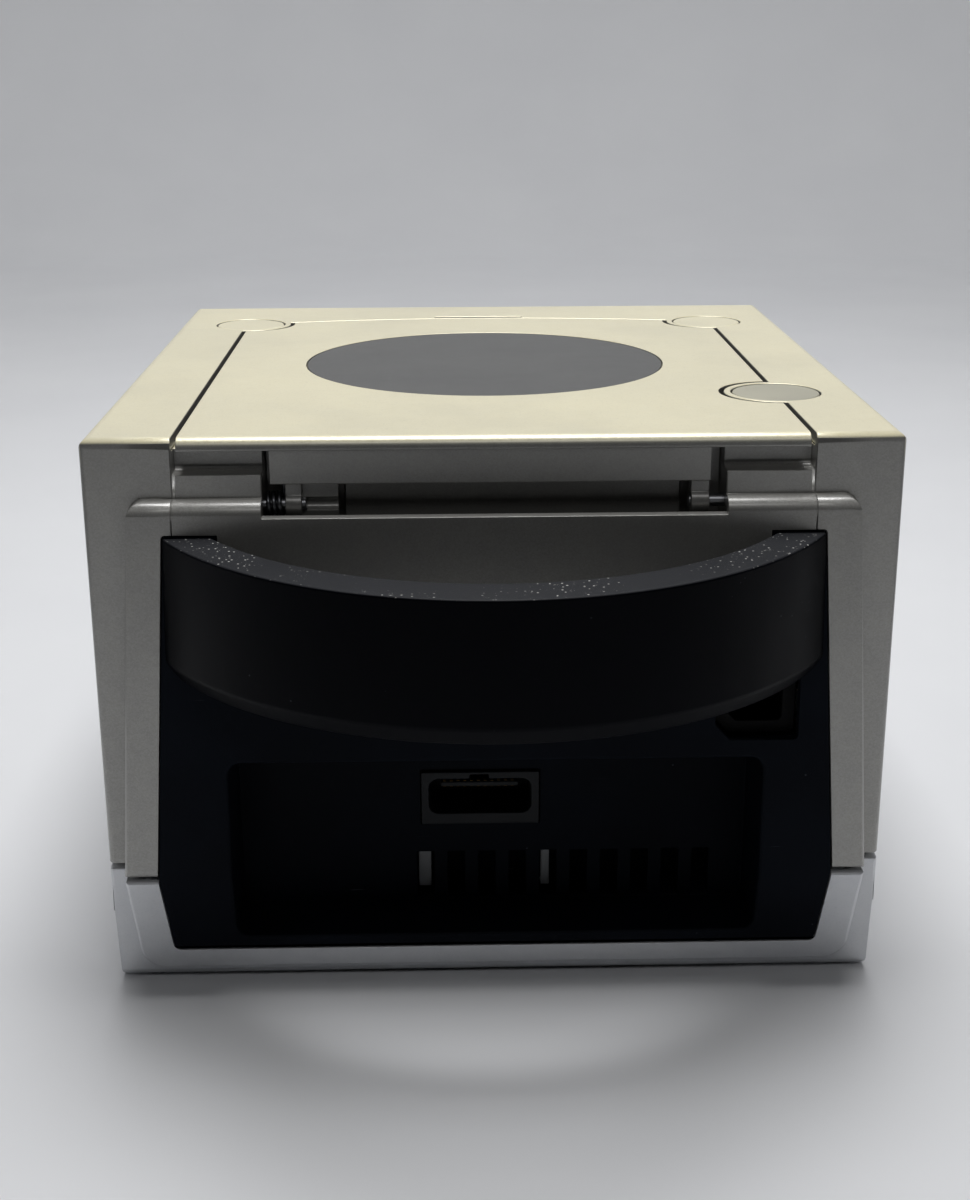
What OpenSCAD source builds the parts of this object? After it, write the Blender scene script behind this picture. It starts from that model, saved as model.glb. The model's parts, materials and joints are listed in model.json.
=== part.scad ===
// Small cube-shaped home game console with a top-loading disc drive and a carrying handle.
// +Z is up, the front faces -Y, and every module is drawn around the middle of the case
// and then seated so that the origin is the middle of the whole footprint.

/* [Case] */
// Width of the case across its sides
body_w = 150.4; // [149:0.2:152]
// Depth of the case without its raised plaques
body_d = 161; // [160:0.5:162]
// Height from the table to the top of the lid
body_h = 110; // [109.5:0.5:111]
// Thickness of the moulded case walls
wall = 2.4; // [2:0.2:2.6]
// Height of the joint between the lower and upper case
seam_z = 25.3; // [25:0.1:25.6]
// Open gap at the joint between the lower and upper case
seam_gap = 1.0; // [0.6:0.1:1.2]
// Radius of the long edges around the top
edge_r = 2.0; // [1.5:0.5:2.5]

/* [Plaques] */
// Height of the top edge of the raised front and rear plaques
plaque_z = 98.9; // [98:0.1:99.5]
// How far a plaque stands out at its top edge
plaque_top = 3.5; // [3:0.1:4]
// How far a plaque stands out at the seam
plaque_seam = 6.5; // [6:0.1:7]

/* [Handle] */
// Radius of the handle's outer curve at its top
handle_r = 69; // [68.5:0.5:69.5]
// How far the handle reaches behind the case centre
handle_reach = 121; // [120:0.5:122]
// Thickness of the handle at its middle
handle_t = 8.8; // [8.4:0.2:9.4]
// Height of the handle's upper face at its ends
handle_top = 92.4; // [92:0.2:92.8]

/* [Lid] */
// Width of the lid
lid_w = 115.4; // [115:0.2:116]
// Gap around the lid
lid_gap = 1.0; // [0.8:0.1:1.2]
// Distance of the hinge axis behind the case centre
hinge_y = 77.5; // [77.3:0.1:77.6]
// Height of the hinge axis
hinge_z = 97; // [96.9:0.1:97.2]
// Radius of the round badge let into the lid
emblem_r = 39.3; // [38:0.1:40]

/* [Buttons] */
// Radius of the power button
power_r = 8.8; // [8.6:0.1:9]
// Radius of the open and reset buttons
corner_r = 8.3; // [8:0.1:8.5]
// Travel of every button
press = 1.6; // [1.2:0.2:1.8]

/* [Sockets] */
// Radius of the bore of a controller socket
socket_r = 8.6; // [8.4:0.1:8.8]
// Distance between neighbouring controller sockets
socket_step = 29; // [28:0.5:30]

/* [Hidden] */
$fn = 64;

pearl = "#ddd5bd";
light_grey = "#b9babb";
dark = "#2b2e35";
metal = "#a9adb0";

arc_steps = 6;                       // straight steps in a rounded corner of an outline
floor_z = 0.7;                       // underside of the lower case
foot_r = 1.6;                        // radius of the case's bottom edges
plaque_low = 3.2;                    // lower edge of a plaque
fit = 0.05;                          // radial play of a running fit
corner_plan = 1.2;                   // radius of the case's upright corners
slack = 0.3;                         // play between separate mouldings
far = 200;                           // longer than the whole model

half_w = body_w / 2;
half_d = body_d / 2;
lid_z = body_h - wall;               // underside of the lid plate
top_z0 = seam_z + seam_gap / 2;      // lower edge of the upper case
low_z1 = seam_z - seam_gap / 2;      // upper edge of the lower case
front_reach = half_d + plaque_seam;
y_seat = -(handle_reach - front_reach) / 2;

// Places that several pieces share
disc_y = 3.4;                        // middle of the disc, the badge and the spindle
deck_z = 101.5;                      // top of the deck under the lid
pocket_x = 42.4;                     // half the width of the hinge pocket
slot_z = 95.9;                       // lower edge of the slot behind the lid
power_at = [-58.2, 41.2];
open_at = [57.5, -51.5];
reset_at = [-57.5, -51.5];
collar_t = 1.4;                      // wall of a button's well
well_floor = 98;                     // underside of the floor of a button's well
post_at = [[66, 68.5], [-66, 68.5], [66, -68.5], [-66, -68.5]];
panel_top = 69;                      // upper edge of the dark rear and front panels
panel_low = 8;                       // lower edge of the dark panels
panel_t = 2.4;                       // thickness of the dark panels
recess = [50.6, 11, 48.7, 68.5];     // half width, floor, ceiling and back of the rear recess
av_x = [-9.1, 14.5];                 // sides of the AV connector
av_z = [28, 39.3];                 // bottom and top of the AV connector
dc_x = [-57, -41.3];                 // sides of the DC inlet's opening
dc_z = [52.3, 66];                   // bottom and top of the DC inlet's opening
vent_w = 3.5;                        // width of a rear vent slot
vent_step = 6.2;                     // pitch of the rear vent slots
socket_z = 54;                       // height of the controller sockets
card_x = [7.3, 47.7];                // inside of the right-hand memory-card slot
card_z = [27.4, 36.8, 39.8];         // floor, mouth top and inside top of a card slot
door_axis = [-82.6, 38];             // Y and Z of the hinge of a card slot's door
grille = [33, 30, 74];               // half length, bottom and top of a side grille
fan_z = 50;                          // axis of the fan
fan_x = [55.5, 70.5];                // sides of the fan's frame
rail_x = 18;                         // the sled's guide rails stand this far from the middle
rail_z = 86;                         // height of the rails and the lead screw
screw_x = 11;                        // the lead screw stands this far from the middle
foot = [30.5, 50, 66, 79];           // inner and outer side and near and far end of a foot
ear_x = 50.7;                        // inner side of the rear panel's ears
panel_gap = 0.2;                     // gap around a dark panel
handle_low = 65.7;                   // underside of the handle
grip_r = 62;                         // radius of the handle's inner curve
handle_draft = 0.9;                  // growth of the handle's outer radius from its top to its bevel
handle_screw_z = [75, 86];           // heights of the screws in the handle's ends
spring_x = 38.85;                    // first coil of the lid's spring, one millimetre from the next
knuckle_r = 2.6;                     // radius of the lid's hinge knuckles
pin_r = 1.2;                         // radius of the hinge pins

function unit(v) = v / norm(v);

// Arc that rounds the corner b, between its neighbours a and c; each is [x, y, radius]
function corner_arc(a, b, c) =
    b[2] == 0 ? [[b[0], b[1]]] :
    let (p = [b[0], b[1]],
         u = unit([a[0] - b[0], a[1] - b[1]]),
         v = unit([c[0] - b[0], c[1] - b[1]]),
         half = acos(u * v) / 2,
         centre = p + unit(u + v) * b[2] / sin(half),
         s = p + u * b[2] / tan(half) - centre,
         e = p + v * b[2] / tan(half) - centre,
         a0 = atan2(s[1], s[0]),
         swing = atan2(e[1], e[0]) - a0,
         turn = swing > 180 ? swing - 360 : swing < -180 ? swing + 360 : swing)
    [for (k = [0 : arc_steps]) centre + b[2] * [cos(a0 + turn * k / arc_steps),
                                                sin(a0 + turn * k / arc_steps)]];

// Outline from corners [x, y, radius]
function rounded(corners) = [
    for (i = [0 : len(corners) - 1])
        for (p = corner_arc(corners[(i + len(corners) - 1) % len(corners)], corners[i],
                            corners[(i + 1) % len(corners)])) p];

// Adds the mirror image of a half outline
function both_sides(half) = concat(half,
    [for (i = [len(half) - 1 : -1 : 0]) [-half[i][0], half[i][1], half[i][2]]]);

module seated() translate([0, y_seat, 0]) children();

module block(x, y, z) translate([x[0], y[0], z[0]]) cube([x[1] - x[0], y[1] - y[0], z[1] - z[0]]);

module both_x() { children(); mirror([1, 0, 0]) children(); }

module along_y(y) translate([0, y[1], 0]) rotate([90, 0, 0]) linear_extrude(y[1] - y[0]) children();

module along_x(x) translate([x[0], 0, 0]) rotate([90, 0, 90]) linear_extrude(x[1] - x[0]) children();

module along_z(z) translate([0, 0, z[0]]) linear_extrude(z[1] - z[0]) children();

module rod_x(r, x, y, z) translate([x[0], y, z]) rotate([0, 90, 0]) cylinder(r = r, h = x[1] - x[0]);

module rod_y(r, y, x, z) translate([x, y[0], z]) rotate([-90, 0, 0]) cylinder(r = r, h = y[1] - y[0]);

module rod_z(r, z, at) translate([at[0], at[1], z[0]]) cylinder(r = r, h = z[1] - z[0]);

// ---- Shapes that several pieces share ----

// Outside of the upper case
module upper_block() intersection() {
    along_y([-far, far]) polygon(rounded(both_sides([[half_w, body_h, edge_r], [half_w, top_z0, 0]])));
    along_x([-far, far]) polygon(rounded(both_sides([[half_d, body_h, edge_r], [half_d, top_z0, 0]])));
    along_z([0, far]) polygon(rounded(both_sides([[half_w, half_d, corner_plan], [half_w, -half_d, corner_plan]])));
}

// Outside of the lower case, which narrows slightly towards its rounded bottom edge
module lower_block() intersection() {
    along_y([-far, far])
        polygon(rounded(both_sides([[half_w, low_z1, 0], [half_w - 0.8, floor_z, foot_r]])));
    along_x([-far, far])
        polygon(rounded(both_sides([[half_d, low_z1, 0], [half_d - 0.9, floor_z, foot_r]])));
    along_z([0, far]) polygon(rounded(both_sides([[half_w, half_d, corner_plan], [half_w, -half_d, corner_plan]])));
}

// Raised plaque on the rear wall, shrunk on every side by inset
module rear_plaque(inset) intersection() {
    along_y([half_d - wall - 1, far]) polygon(rounded(both_sides([
        [66.7 - inset, plaque_z - inset, 3.2], [71.2 - inset, seam_z, 0],
        [69.7 - inset, plaque_low + inset, 5]])));
    plaque_side(inset);
}

// Everything in front of the plaque's sloping outer face, lowered by inset
module plaque_side(inset) along_x([-far, far]) polygon(rounded([
    [0, plaque_z, 0], [half_d + plaque_top - inset, plaque_z, 2.6],
    [half_d + plaque_seam - inset, seam_z, 0], [half_d + 0.7 - inset, plaque_low, 0], [0, plaque_low, 0]]));

// Outline of the dark front panel
module front_outline(gap) polygon(rounded(both_sides([
    [62.2 + gap, panel_top + gap, 1], [64.6 + gap, seam_z, 0], [63 + gap, panel_low - gap, 1.5]])));

// Outline of the dark rear panel, which has an ear behind each end of the handle
module rear_outline(gap) difference() {
    polygon(rounded(both_sides([
        [60.4 + gap, handle_top + 0.3 + gap, 0.6], [64.6 + gap, seam_z, 0],
        [63 + gap, panel_low - gap, 1.5]])));
    translate([gap - ear_x, panel_top + 3 + gap]) square([2 * (ear_x - gap), 40]);
}

// Skin of a dark panel: its outline, given as the child, cut out of the plaque's sloping face
module panel_skin() intersection() {
    along_y([half_d - 4, far]) children();
    difference() {
        plaque_side(0.2);
        plaque_side(0.2 + panel_t);
    }
}

// Plan of the lid, grown by gap; the buttons bite round notches out of it
module lid_plan(gap) difference() {
    intersection() {
        translate([-lid_w / 2 - gap, -70]) square([lid_w + 2 * gap, 70 + half_d + gap]);
        translate([0, 164.7]) circle(r = 223 + gap, $fn = 256);
    }
    translate(power_at) circle(r = power_r + slack + collar_t + lid_gap - gap);
    for (at = [open_at, reset_at]) translate(at) circle(r = corner_r + slack + collar_t + lid_gap - gap);
}

// ---- Case ----

module button_wells() {
    rod_z(power_r + slack + collar_t, [well_floor, body_h], power_at);
    for (at = [open_at, reset_at]) rod_z(corner_r + slack + collar_t, [well_floor, body_h], at);
}

module well_bore(r, at) {
    rod_z(r + slack, [well_floor + 2, far], at);
    rod_z(3 + slack, [well_floor - 1, far], at);
}

// Floor and walls of the bay that the lid closes
module lid_bay() difference() {
    along_z([deck_z - 2, lid_z + 0.4]) intersection() {
        lid_plan(lid_gap + 2);
        translate([-far, -far]) square([2 * far, far + 71]);
    }
    along_z([deck_z, far]) intersection() {
        lid_plan(lid_gap);
        translate([-far, -far]) square([2 * far, far + 72]);
    }
    rod_z(44.5, [0, far], [0, disc_y]);
}

// Thick rear rim under the lid's edge, with the hinge pocket and the coves beside it
module rear_rim() difference() {
    union() {
        block([-59.5, 59.5], [70, half_d], [deck_z - 3.5, lid_z - 0.3]);
        block([-pocket_x - 3, pocket_x + 3], [70, half_d - 0.5], [86, lid_z - 6]);
    }
    difference() {
        block([-pocket_x, pocket_x], [72, half_d + 1.5], [88, far]);
        block([-34.8, 27.7], [70, 74.2], [86, 105]);
    }
}

// Undercut below the lid's rear edge, with a rounded inner corner
module rear_cove() along_x([-lid_w / 2 - lid_gap, lid_w / 2 + lid_gap]) polygon(rounded([
    [half_d - 4.4, 103.2, 1.2], [far, 103.2, 0], [far, far, 0], [half_d - 4.4, far, 0]]));

// Fine upright lines where the rear wall's mould parts meet
module witness_lines() both_x() {
    block([58, 58.9], [half_d - 0.25, half_d + 0.3], [plaque_z - 1, 108]);
    intersection() {
        block([58.5, 58.8], [half_d, far], [handle_top, plaque_z + 1]);
        difference() {
            plaque_side(-1);
            plaque_side(0.2);
        }
    }
}

module top_case() seated() color(pearl) difference() {
    union() {
        difference() {
            union() {
                upper_block();
                for (m = [0, 1]) mirror([0, m, 0]) rear_plaque(0);
            }
            block([-half_w + wall, half_w - wall], [-half_d + wall, half_d - wall], [0, lid_z]);
            for (m = [0, 1]) mirror([0, m, 0]) rear_plaque(wall);
            block([-far, far], [-far, far], [-1, top_z0]);
            along_z([lid_z - 1, far]) lid_plan(lid_gap);
        }
        lid_bay();
        rear_rim();
        button_wells();
        for (at = post_at) rod_z(4, [top_z0 + 1, lid_z + 0.5], at);
        both_x() block([34.2, 35.6], [-58, -49], [94.8, deck_z - 1]);
    }
    well_bore(power_r, power_at);
    for (at = [open_at, reset_at]) well_bore(corner_r, at);
    rear_cove();
    witness_lines();
    block([-pocket_x, pocket_x], [76, far], [slot_z, far]);
    rod_x(pin_r, [-pocket_x - 2.8, pocket_x + 2.8], hinge_y, hinge_z);
    for (at = post_at) rod_z(1.65, [0, 44], at);
    along_y([half_d - 4, far]) rear_outline(panel_gap);
    mirror([0, 1, 0]) along_y([half_d - 4, far]) front_outline(panel_gap);
    both_x() block([half_w - wall - 1, far], [-grille[0] - 0.2, grille[0] + 0.2],
                   [grille[1] - 0.2, grille[2] + 0.2]);
    // Window of the power light and the slots for the lid's latch
    block([-11.2, 11.2], [-62, -59.8], [105, far]);
    block([37, 43], [-53.4, -48], [deck_z - 3, deck_z + 1]);
}

module bottom_case() seated() color(light_grey) difference() {
    union() {
        difference() {
            union() {
                lower_block();
                for (m = [0, 1]) mirror([0, m, 0]) rear_plaque(0);
            }
            block([-far, far], [-far, far], [low_z1, far]);
            block([-half_w + wall + 0.8, half_w - wall - 0.8],
                  [-half_d + wall + 0.9, half_d - wall - 0.9], [floor_z + wall, far]);
            intersection() {
                for (m = [0, 1]) mirror([0, m, 0]) rear_plaque(wall);
                block([-far, far], [-far, far], [floor_z + wall, far]);
            }
        }
        // Tongue that closes the seam from inside
        difference() {
            block([-half_w + wall + 0.3, half_w - wall - 0.3], [-half_d + wall + 0.3, half_d - wall - 0.3],
                  [low_z1 - 3, top_z0 + 2]);
            block([-half_w + wall + 1.9, half_w - wall - 1.9],
                  [-half_d + wall + 1.9, half_d - wall - 1.9], [0, far]);
            block([-68, 68], [-far, far], [0, far]);
        }
        both_x() for (m = [0, 1]) mirror([0, m, 0])
            block([65.4, 68.3], [half_d - wall - 1.9, half_d + 3.6], [low_z1 - 3, top_z0 + 2]);
        for (at = post_at) rod_z(5.2, [floor_z, low_z1 + 1], at);
        for (x = [-52, 52], y = [-55, 55]) rod_z(3, [floor_z + 1, 14], [x, y]);
    }
    for (at = post_at) {
        rod_z(4, [0, 17], at);
        rod_z(1.8, [0, far], at);
    }
    along_y([half_d - 4, far]) rear_outline(panel_gap);
    mirror([0, 1, 0]) along_y([half_d - 4, far]) front_outline(panel_gap);
    both_x() for (m = [0, 1]) mirror([0, m, 0])
        block([foot[0], foot[1]], [foot[2], foot[3] - 1], [0, floor_z + 0.6]);
    port_hole([0, -38], [46, 18], slack);
    for (x = [-32, 32]) port_hole([x, 22], [34, 20], slack);
    for (x = [-60, -54, 54, 60], y = [-24 : 12 : 24]) block([x - 1.2, x + 1.2], [y - 4, y + 4], [0, 5]);
}

module port_hole(at, size, gap) along_z([0, floor_z + wall + 1]) translate(at)
    square([size[0] + 2 * gap, size[1] + 2 * gap], center = true);

module port_cover(at, size) seated() color(light_grey) {
    block([at[0] - size[0] / 2, at[0] + size[0] / 2], [at[1] - size[1] / 2, at[1] + size[1] / 2],
          [floor_z, floor_z + 2]);
    for (s = [-1, 1]) block([at[0] - 4, at[0] + 4],
        [at[1] + s * (size[1] / 2 - 2.5) - 0.6, at[1] + s * (size[1] / 2 - 2.5) + 0.6],
        [floor_z + 1, floor_z + 5]);
}

module port_cover_front() port_cover([0, -38], [46, 18]);
module port_cover_left() port_cover([-32, 22], [34, 20]);
module port_cover_right() port_cover([32, 22], [34, 20]);

module feet() seated() color("#6d6f70")
    both_x() for (m = [0, 1]) mirror([0, m, 0])
        along_z([0, floor_z + 0.6]) polygon(rounded([
            [foot[0] + 0.2, foot[2] + 0.2, 2], [foot[1] - 0.2, foot[2] + 0.2, 2],
            [foot[1] - 0.2, foot[3] - 1.2, 2], [foot[0] + 0.2, foot[3] - 1.2, 2]]));

module case_screws() seated() color(metal) for (at = post_at) {
    rod_z(1.6, [17, 42], at);
    difference() {
        rod_z(3.4, [14.4, 17], at);
        rod_z(1.4, [14, 15.6], at);
    }
}

// ---- Rear ----

module rear_panel() seated() color(dark) difference() {
    union() {
        panel_skin() rear_outline(0);
        intersection() {
            block([-recess[0] - 1.8, recess[0] + 1.8], [recess[3] - 1.8, far],
                  [recess[1] - 1.6, recess[2] + 1.8]);
            plaque_side(0.2);
        }
        // Baffle that stands behind the vent slots
        block([-46, 20], [59, recess[3] - 0.8], [recess[1] - 1.6, recess[1] - 0.4]);
        block([-46, 20], [59, 60.2], [recess[1] - 1.6, 25.6]);
    }
    along_y([recess[3], far]) polygon(rounded(both_sides([
        [recess[0], recess[2], 2.5], [recess[0], recess[1], 2.5]])));
    block([av_x[0] - 0.2, av_x[1] + 0.2], [60, recess[3] + 1], [av_z[0] - 0.2, av_z[1] + 0.2]);
    for (k = [0 : 9]) translate([15.55 - k * vent_step, 0, 0])
        block([-vent_w, 0], [recess[3] - 3, recess[3] + 1], [recess[1] + 0.4, recess[1] + 10.6]);
    along_y([70, far]) dc_outline(0);
    both_x() for (z = handle_screw_z) rod_y(1.5, [70, far], 55, z);
}

// Opening of the DC inlet, with one corner cut off
module dc_outline(inset) polygon(rounded([
    [dc_x[0] + inset, dc_z[0] + inset, 1], [dc_x[1] - 2.8 - inset / 2, dc_z[0] + inset, 1],
    [dc_x[1] - inset, dc_z[0] + 3 + inset / 2, 1], [dc_x[1] - inset, dc_z[1] - inset, 1],
    [dc_x[0] + inset, dc_z[1] - inset, 1]]));

module dc_inlet() seated() color("#1d1f22") {
    difference() {
        along_y([66, 82.6]) dc_outline(0.2);
        along_y([74, far]) dc_outline(2.8);
    }
    for (x = [-51.2, -46.6]) rod_y(0.9, [73, 78], x, 59.6);
}

module av_connector() seated() color("#3b3e41") {
    difference() {
        block(av_x, [52, recess[3] + 0.8], av_z);
        along_y([58, far]) polygon(rounded([
            [-7.5, 30.4, 2], [13, 30.4, 2], [13, 37.8, 2], [-7.5, 37.8, 2]]));
        block([1, 4.8], [58, far], [37, 38.7]);
    }
    block([-5, 10.6], [57, 67], [35.2, 36.2]);
    for (x = [-6, 9]) block([x, x + 2.4], [53, 57], [15.7, av_z[0] + 0.5]);
}

module handle() seated() color(dark) difference() {
    intersection() {
        // The outer face widens slightly downwards, and its lower edge is bevelled
        translate([0, handle_reach - handle_r - handle_draft, handle_low]) {
            cylinder(r1 = handle_r + handle_draft - 2.1, r2 = handle_r + handle_draft, h = 3.4, $fn = 128);
            translate([0, 0, 3.4])
                cylinder(r1 = handle_r + handle_draft, r2 = handle_r, h = 24, $fn = 128);
        }
        block([-far, far], [half_d, far], [0, far]);
        // The upper face falls slightly towards the middle of the grip
        along_x([-far, far]) polygon([
            [0, 0], [far, 0], [handle_reach, handle_top - 0.8], [half_d + 5.5, handle_top],
            [0, handle_top]]);
    }
    translate([0, handle_reach - handle_draft - handle_t - grip_r, 0]) cylinder(r = grip_r, h = far, $fn = 128);
    plaque_side(0.2);
    both_x() for (z = handle_screw_z) rod_y(1.35, [70, 88.4], 55, z);
}

module handle_screws() seated() color(metal) both_x() for (z = handle_screw_z) {
    rod_y(1.3, [81, 88.2], 55, z);
    rod_y(2.7, [79.2, 81], 55, z);
}

// ---- Front ----

module front_panel() seated() color(dark) difference() {
    mirror([0, 1, 0]) panel_skin() front_outline(0);
    for (k = [-1.5 : 1 : 1.5]) rod_y(10.4, [-far, -70], k * socket_step, socket_z);
    both_x() block([card_x[0], card_x[1]], [-far, -70], [card_z[0], card_z[1]]);
}

module controller_socket(k) seated() color("#3a3d42") difference() {
    rod_y(10.2, [-87, -67], k * socket_step, socket_z);
    rod_y(socket_r, [-far, -71], k * socket_step, socket_z);
}

module controller_socket_1() controller_socket(-1.5);
module controller_socket_2() controller_socket(-0.5);
module controller_socket_3() controller_socket(0.5);
module controller_socket_4() controller_socket(1.5);

module memory_slot() seated() color("#33363b") difference() {
    block([card_x[0] - 1.4, card_x[1] + 1.4], [-83.5, -44], [card_z[0] - 1.4, card_z[2] + 1.4]);
    block([card_x[0], card_x[1]], [-far, -45.6], [card_z[0], card_z[2]]);
    rod_x(0.9 + fit, [card_x[0] - 3, card_x[1] + 3], door_axis[0], door_axis[1]);
}

module memory_slot_a() mirror([1, 0, 0]) memory_slot();
module memory_slot_b() memory_slot();

// Sprung flap that swings inwards about its upper edge
module memory_door() seated() color("#4a4d52") {
    block([card_x[0] + slack, card_x[1] - slack], [door_axis[0] - 0.7, door_axis[0] + 0.7],
          [card_z[0] + slack, door_axis[1]]);
    rod_x(0.9, [card_x[0] - 1.2, card_x[1] + 1.2], door_axis[0], door_axis[1]);
}

module memory_door_a() mirror([1, 0, 0]) memory_door();
module memory_door_b() memory_door();

// ---- Sides ----

module side_grille() seated() color(dark) difference() {
    block([half_w - wall - 0.4, half_w - 0.3], [-grille[0], grille[0]], [grille[1], grille[2]]);
    for (z = [grille[1] + 4 : 5 : grille[2] - 6], y = [-29, 1])
        block([0, far], [y, y + 28], [z, z + 2.6]);
}

module side_grille_left() mirror([1, 0, 0]) side_grille();
module side_grille_right() side_grille();

// ---- Lid ----

module lid_cover() seated() color(pearl) difference() {
    union() {
        intersection() {
            along_z([lid_z, body_h]) lid_plan(0);
            along_x([-far, far]) polygon(rounded([
                [-far, lid_z, 0], [half_d, lid_z, 0], [half_d, body_h, edge_r], [-far, body_h, 0]]));
        }
        // Stiffening rim under the plate
        along_z([103.6, lid_z + 0.5]) intersection() {
            difference() {
                lid_plan(-1.2);
                lid_plan(-2.8);
            }
            translate([-far, -far]) square([2 * far, far + 65]);
        }
        // Rear skirt with its turned lip
        block([-39.6, 41], [hinge_y + 0.8, hinge_y + 2.3], [101.2, lid_z + 0.5]);
        hinge_arm([35.3, 38.3]);
        hinge_arm([-39.5, -36.1]);
        block([28.7, 35.8], [hinge_y - 2, hinge_y], [94.6, lid_z + 0.5]);
        // Hook for the latch
        block([38, 42], [-50.6, -49.2], [95, lid_z + 0.5]);
        block([38, 42], [-51.8, -49.2], [94.2, 95.8]);
    }
    rod_z(emblem_r + 0.2, [body_h - 1, far], [0, disc_y]);
    rod_x(pin_r + fit, [-far, far], hinge_y, hinge_z);
}

module hinge_arm(x) {
    rod_x(knuckle_r, x, hinge_y, hinge_z);
    block(x, [hinge_y - 2, hinge_y + 1.6], [hinge_z, lid_z + 0.5]);
}

module lid_liner() seated() color("#3f4245") {
    rod_z(43, [104, 105.4], [0, disc_y]);
    for (a = [45 : 90 : 315]) rod_z(3, [105, lid_z], [38 * cos(a), disc_y + 38 * sin(a)]);
    difference() {
        rod_z(9, [102.6, 104.5], [0, disc_y]);
        rod_z(7.4, [102, 103.6], [0, disc_y]);
    }
}

module lid_emblem() seated() color("#616160") rod_z(emblem_r, [body_h - 1, body_h - 0.1], [0, disc_y]);

module hinge_pins() seated() color(metal) {
    rod_x(pin_r, [34.6, pocket_x + 2.6], hinge_y, hinge_z);
    rod_x(pin_r, [-pocket_x - 2.6, -35.8], hinge_y, hinge_z);
}

// Torsion spring beside the hinge knuckle: one ring for each coil, and its two legs
module lid_spring() seated() color(metal) {
    for (k = [0 : 3]) translate([spring_x + k, hinge_y, hinge_z]) rotate([0, 90, 0])
        rotate_extrude() translate([2.05, 0]) circle(r = 0.46, $fn = 24);
    translate([spring_x, hinge_y - 2.05, hinge_z]) cylinder(r = 0.4, h = 6);
    translate([spring_x + 3, hinge_y - 2.05, hinge_z - 6]) cylinder(r = 0.4, h = 6);
}

// Slider that the open button draws back from the lid's hook
module lid_latch() seated() color("#8a8d90") difference() {
    block([36, 52], [-57, -52.2], [95.6, 97.6]);
    block([40, 48], [-55.6, -54], [95, 98]);
}

// ---- Buttons ----

module button(r, at, shade) seated() color(shade) {
    rod_z(r, [104.5, body_h - 0.1], at);
    rod_z(3, [95.4, 105], at);
    rod_z(4, [95.4, 97.4], at);
}

module open_button() button(corner_r, open_at, pearl);
module reset_button() button(corner_r, reset_at, pearl);
module power_button() button(power_r, power_at, "#b0ac9d");

// Return spring of a button, one ring for each coil
module return_spring(at) seated() color(metal)
    for (z = [100.5 : 1.2 : 104.2]) translate([at[0], at[1], z])
        rotate_extrude() translate([4.6, 0]) circle(r = 0.35, $fn = 24);

module open_spring() return_spring(open_at);
module reset_spring() return_spring(reset_at);
module power_spring() return_spring(power_at);

module power_light() seated() color("#5a5040") block([-11, 11], [-61.8, -60], [105.4, body_h - 0.3]);

// ---- Disc drive ----

module disc_tray() seated() color("#26282b") difference() {
    union() {
        rod_z(44.2, [94, deck_z + 0.1], [0, disc_y]);
        rod_z(46, [deck_z + 0.05, deck_z + 0.9], [0, disc_y]);
    }
    rod_z(42.2, [96, far], [0, disc_y]);
    rod_z(13.4, [0, far], [0, disc_y]);
    block([-8, 8], [-36.5, disc_y], [0, 96.5]);
}

module drive_chassis() seated() color(metal) difference() {
    union() {
        block([-46, 46], [-60, 46], [78, 79.4]);
        for (x = [-rail_x, rail_x], y = [-44.5, -13]) block([x - 3, x + 3], [y, y + 2.4], [79, rail_z + 3]);
        for (y = [-44.5, -10]) block([screw_x - 2.4, screw_x + 2.4], [y, y + 2], [79, rail_z + 2.6]);
        for (at = [[43, 43], [-45, 22], [43, -38], [-43, -38]]) rod_z(3, [51.2, 93], at);
    }
    for (x = [-rail_x, rail_x]) rod_y(1.5, [-50, 0], x, rail_z);
    rod_y(1.2 + fit, [-50, 0], screw_x, rail_z);
    block([-9, 9], [-41, -14], [70, 80]);
}

module spindle_motor() seated() color("#8c9094") {
    rod_z(11, [79.4, 88], [0, disc_y]);
    rod_z(1.5, [87, 97], [0, disc_y]);
}

// Turntable and centring cone
module spindle_hub() seated() color("#303236") difference() {
    union() {
        rod_z(12.4, [96.6, 98], [0, disc_y]);
        rod_z(5, [90, 97], [0, disc_y]);
        translate([0, disc_y, 98]) cylinder(r1 = 7.2, r2 = 5.2, h = 2.6);
    }
    rod_z(1.5 + fit, [80, 97.2], [0, disc_y]);
}

module laser_sled() seated() color("#6b6f73") difference() {
    block([-22, 22], [-27, -15.5], [82.6, 89.4]);
    for (x = [-rail_x, rail_x]) rod_y(1.5 + fit, [-30, 0], x, rail_z);
    rod_y(1.2 + fit, [-30, 0], screw_x, rail_z);
    rod_z(3.4, [88, far], [0, -21.2]);
}

module laser_lens() seated() color("#9ec3dd") {
    rod_z(3.3, [88.2, 90.6], [0, -21.2]);
    translate([0, -21.2, 90.6]) cylinder(r1 = 2.6, r2 = 1.6, h = 0.8);
}

module sled_rails() seated() color(metal)
    for (x = [-rail_x, rail_x]) rod_y(1.5, [-44.5, -10.6], x, rail_z);

module lead_screw() seated() color(metal) rod_y(1.2, [-46, -8], screw_x, rail_z);

module sled_motor() seated() color("#8c9094") difference() {
    rod_y(5, [-58, -44.9], screw_x, rail_z);
    rod_y(1.2 + fit, [-47, 0], screw_x, rail_z);
}

// ---- Electronics ----

module shield_plate() seated() color(metal) difference() {
    block([-50, 50], [-42, 60], [50, 51.2]);
    block([-far, -25], [25, far], [0, far]);
    for (x = [-20 : 10 : 20], y = [-25 : 10 : 15]) rod_z(2.4, [40, 60], [x, y]);
}

module mainboard() seated() color("#2f5a3c") {
    difference() {
        block([-59, 59], [-76, 57.8], [14, 15.6]);
        for (x = [-52, 52], y = [-55, 55]) rod_z(1.6, [10, 20], [x, y]);
    }
    block([-20, 20], [-12, 12], [15.6, 17]);
    for (x = [-42, 34]) block([x, x + 9], [-20, 0], [15.6, 17]);
}

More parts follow.
